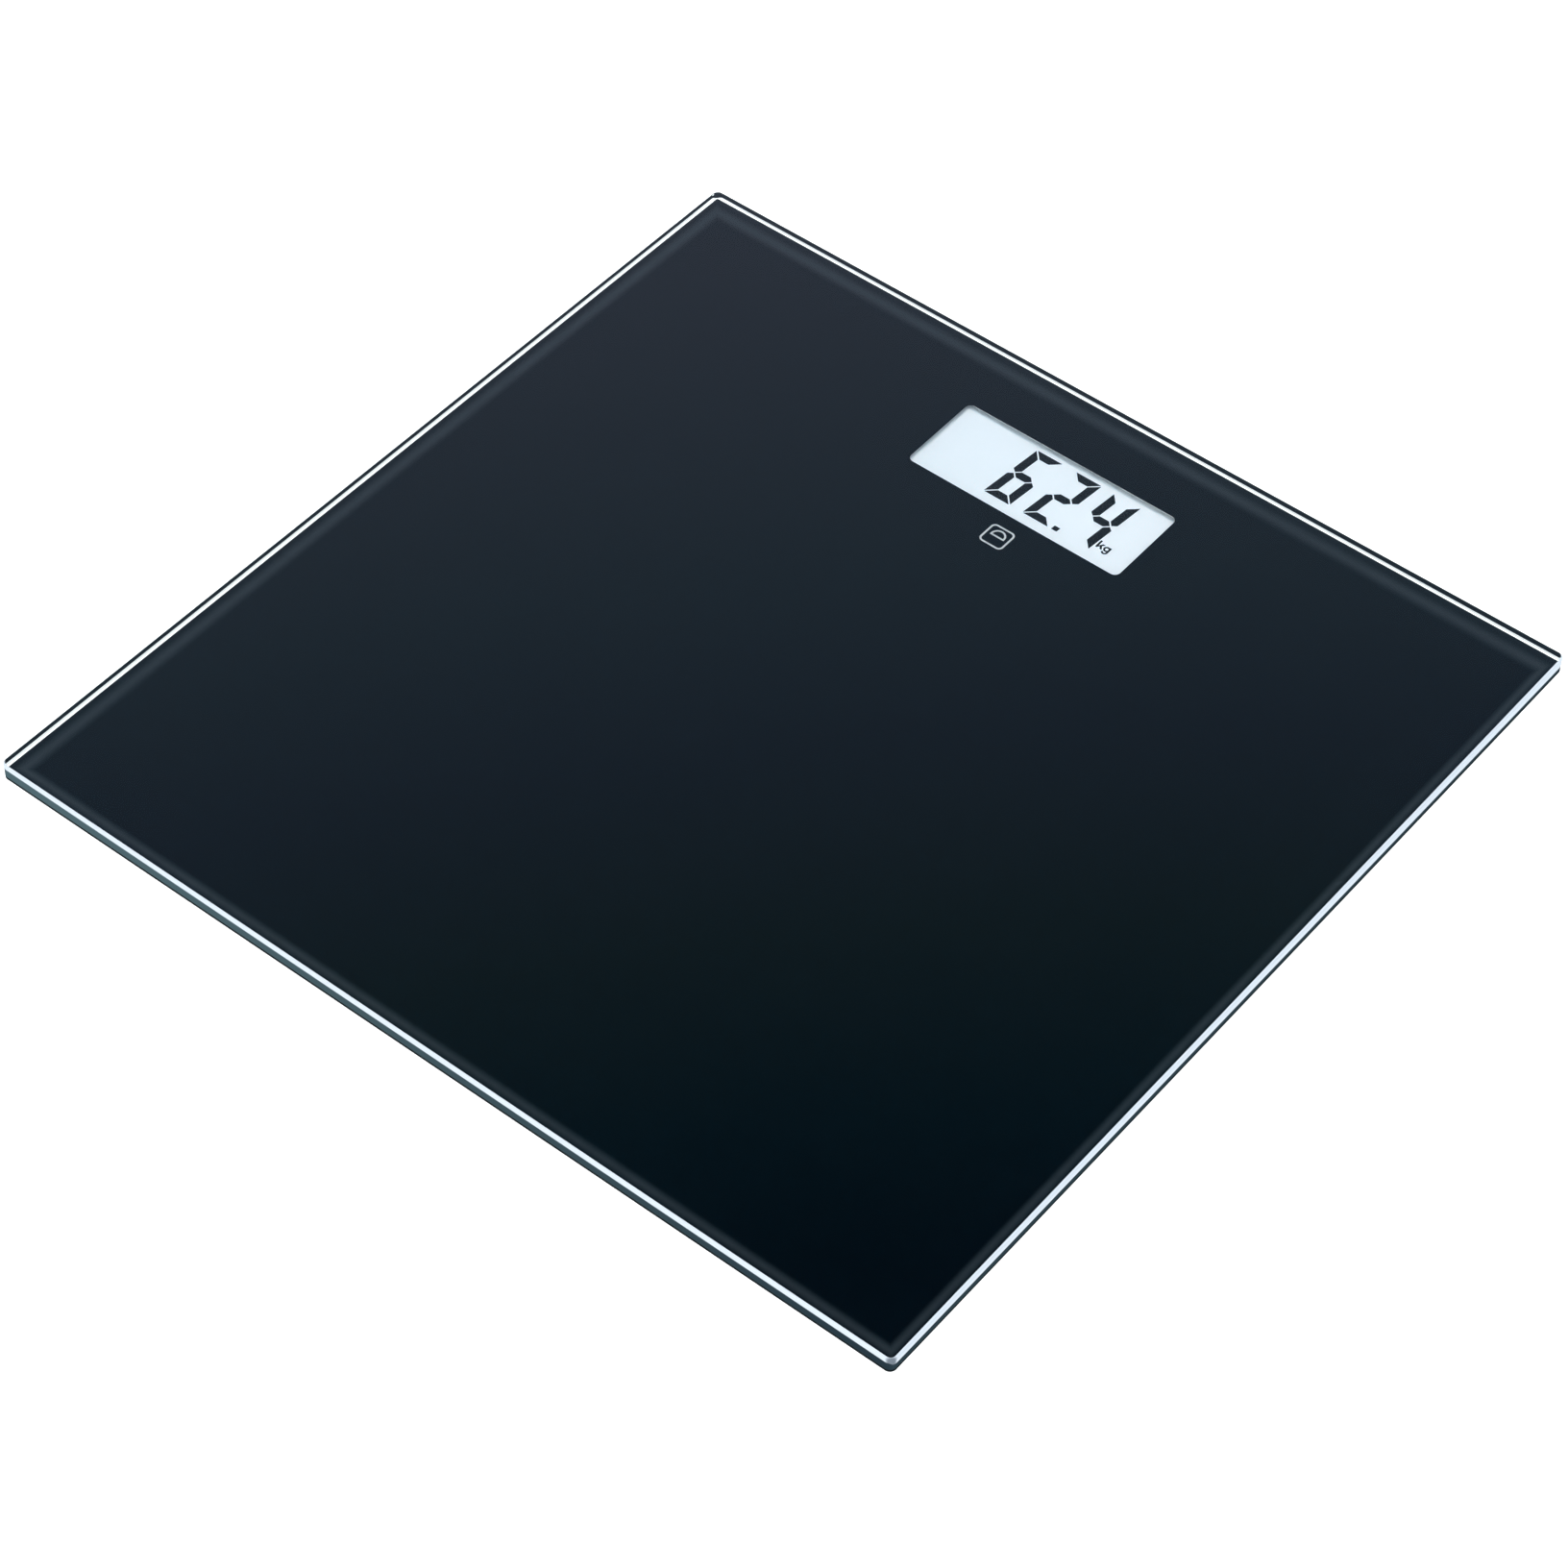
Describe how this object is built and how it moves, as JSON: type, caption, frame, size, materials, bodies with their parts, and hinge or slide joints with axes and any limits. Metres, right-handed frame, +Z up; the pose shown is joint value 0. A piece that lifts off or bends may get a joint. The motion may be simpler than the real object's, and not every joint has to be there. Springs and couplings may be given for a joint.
{
  "type": "digital bathroom scale",
  "caption": "Slim square weighing platform of tempered glass printed black from below, with a digital display window near the back edge, sprung load-cell feet and a sliding battery door.",
  "frame": {"origin": "on the floor, under the middle of the square platform", "axes": "+Z up, +Y from the front edge towards the edge with the display, +X to the user's right"},
  "size_m": [0.3, 0.3, 0.0184],
  "materials": {
    "platform_glass": "polished tempered float glass",
    "black_print": "fired black print behind glass",
    "white_print": "fired white print behind glass",
    "lcd_glass": "thin display glass",
    "lcd_ink": "dark liquid-crystal segments",
    "lcd_reflector": "pale satin reflector",
    "white_plastic": "fine satin",
    "elastomer": "striped conductive rubber",
    "board_laminate": "solder mask on laminate",
    "black_resin": "cast epoxy",
    "chip_ceramic": "small moulded and ceramic parts",
    "plated_steel": "zinc plated",
    "dark_plastic": "fine spark-eroded texture",
    "black_plastic": "fine spark-eroded texture",
    "grey_plastic": "satin",
    "foam_tape": "closed-cell foam tape",
    "cell_steel": "nickel plated",
    "spring_brass": "spring temper",
    "wire_sleeve": "soft sleeve",
    "white_silicone": "soft silicone",
    "pad_rubber": "matt moulded rubber"
  },
  "bodies": {
    "platform": {"glass_platform": "platform_glass", "back_print": "black_print", "print_mark": "white_print", "lcd_front_glass": "lcd_glass", "lcd_segments": "lcd_ink", "lcd_rear_glass": "lcd_glass", "lcd_backing": "lcd_reflector", "lcd_frame": "white_plastic", "lcd_connector": "elastomer", "circuit_board": "board_laminate", "controller_blob": "black_resin", "board_parts": "chip_ceramic", "unit_switch": "plated_steel", "board_screws": "plated_steel", "pod_housing": "dark_plastic", "pod_tape": "foam_tape", "coin_cell": "cell_steel", "contact_plus": "spring_brass", "contact_minus": "spring_brass", "left_wire_cover": "black_plastic", "right_wire_cover": "black_plastic", "back_left_wire_cover": "black_plastic", "back_right_wire_cover": "black_plastic", "front_left_wires": "wire_sleeve", "front_left_tape": "foam_tape", "front_left_carrier": "black_plastic", "front_left_cell": "cell_steel", "front_left_resin": "white_silicone", "front_right_wires": "wire_sleeve", "front_right_tape": "foam_tape", "front_right_carrier": "black_plastic", "front_right_cell": "cell_steel", "front_right_resin": "white_silicone", "back_left_wires": "wire_sleeve", "back_left_tape": "foam_tape", "back_left_carrier": "black_plastic", "back_left_cell": "cell_steel", "back_left_resin": "white_silicone", "back_right_wires": "wire_sleeve", "back_right_tape": "foam_tape", "back_right_carrier": "black_plastic", "back_right_cell": "cell_steel", "back_right_resin": "white_silicone"},
    "front_left_foot": {"front_left_cap": "dark_plastic", "front_left_pad": "pad_rubber"},
    "front_right_foot": {"front_right_cap": "dark_plastic", "front_right_pad": "pad_rubber"},
    "back_left_foot": {"back_left_cap": "dark_plastic", "back_left_pad": "pad_rubber"},
    "back_right_foot": {"back_right_cap": "dark_plastic", "back_right_pad": "pad_rubber"},
    "door": {"battery_door": "dark_plastic"},
    "button": {"unit_button": "grey_plastic"}
  },
  "joints": [
    {"name": "front_left_foot_press", "type": "slide", "parent": "platform", "child": "front_left_foot", "axis": [0, 0, 1], "range_m": [0, 0.0008], "stiffness_N_per_m": 8000, "springref_m": -0.001},
    {"name": "front_right_foot_press", "type": "slide", "parent": "platform", "child": "front_right_foot", "axis": [0, 0, 1], "range_m": [0, 0.0008], "stiffness_N_per_m": 8000, "springref_m": -0.001},
    {"name": "back_left_foot_press", "type": "slide", "parent": "platform", "child": "back_left_foot", "axis": [0, 0, 1], "range_m": [0, 0.0008], "stiffness_N_per_m": 8000, "springref_m": -0.001},
    {"name": "back_right_foot_press", "type": "slide", "parent": "platform", "child": "back_right_foot", "axis": [0, 0, 1], "range_m": [0, 0.0008], "stiffness_N_per_m": 8000, "springref_m": -0.001},
    {"name": "battery_door_slide", "type": "slide", "parent": "platform", "child": "door", "axis": [1, 0, 0], "range_m": [0, 0.026]},
    {"name": "unit_button_press", "type": "slide", "parent": "platform", "child": "button", "axis": [0, 0, 1], "range_m": [0, 0.0006], "stiffness_N_per_m": 600, "springref_m": -0.0012}
  ]
}
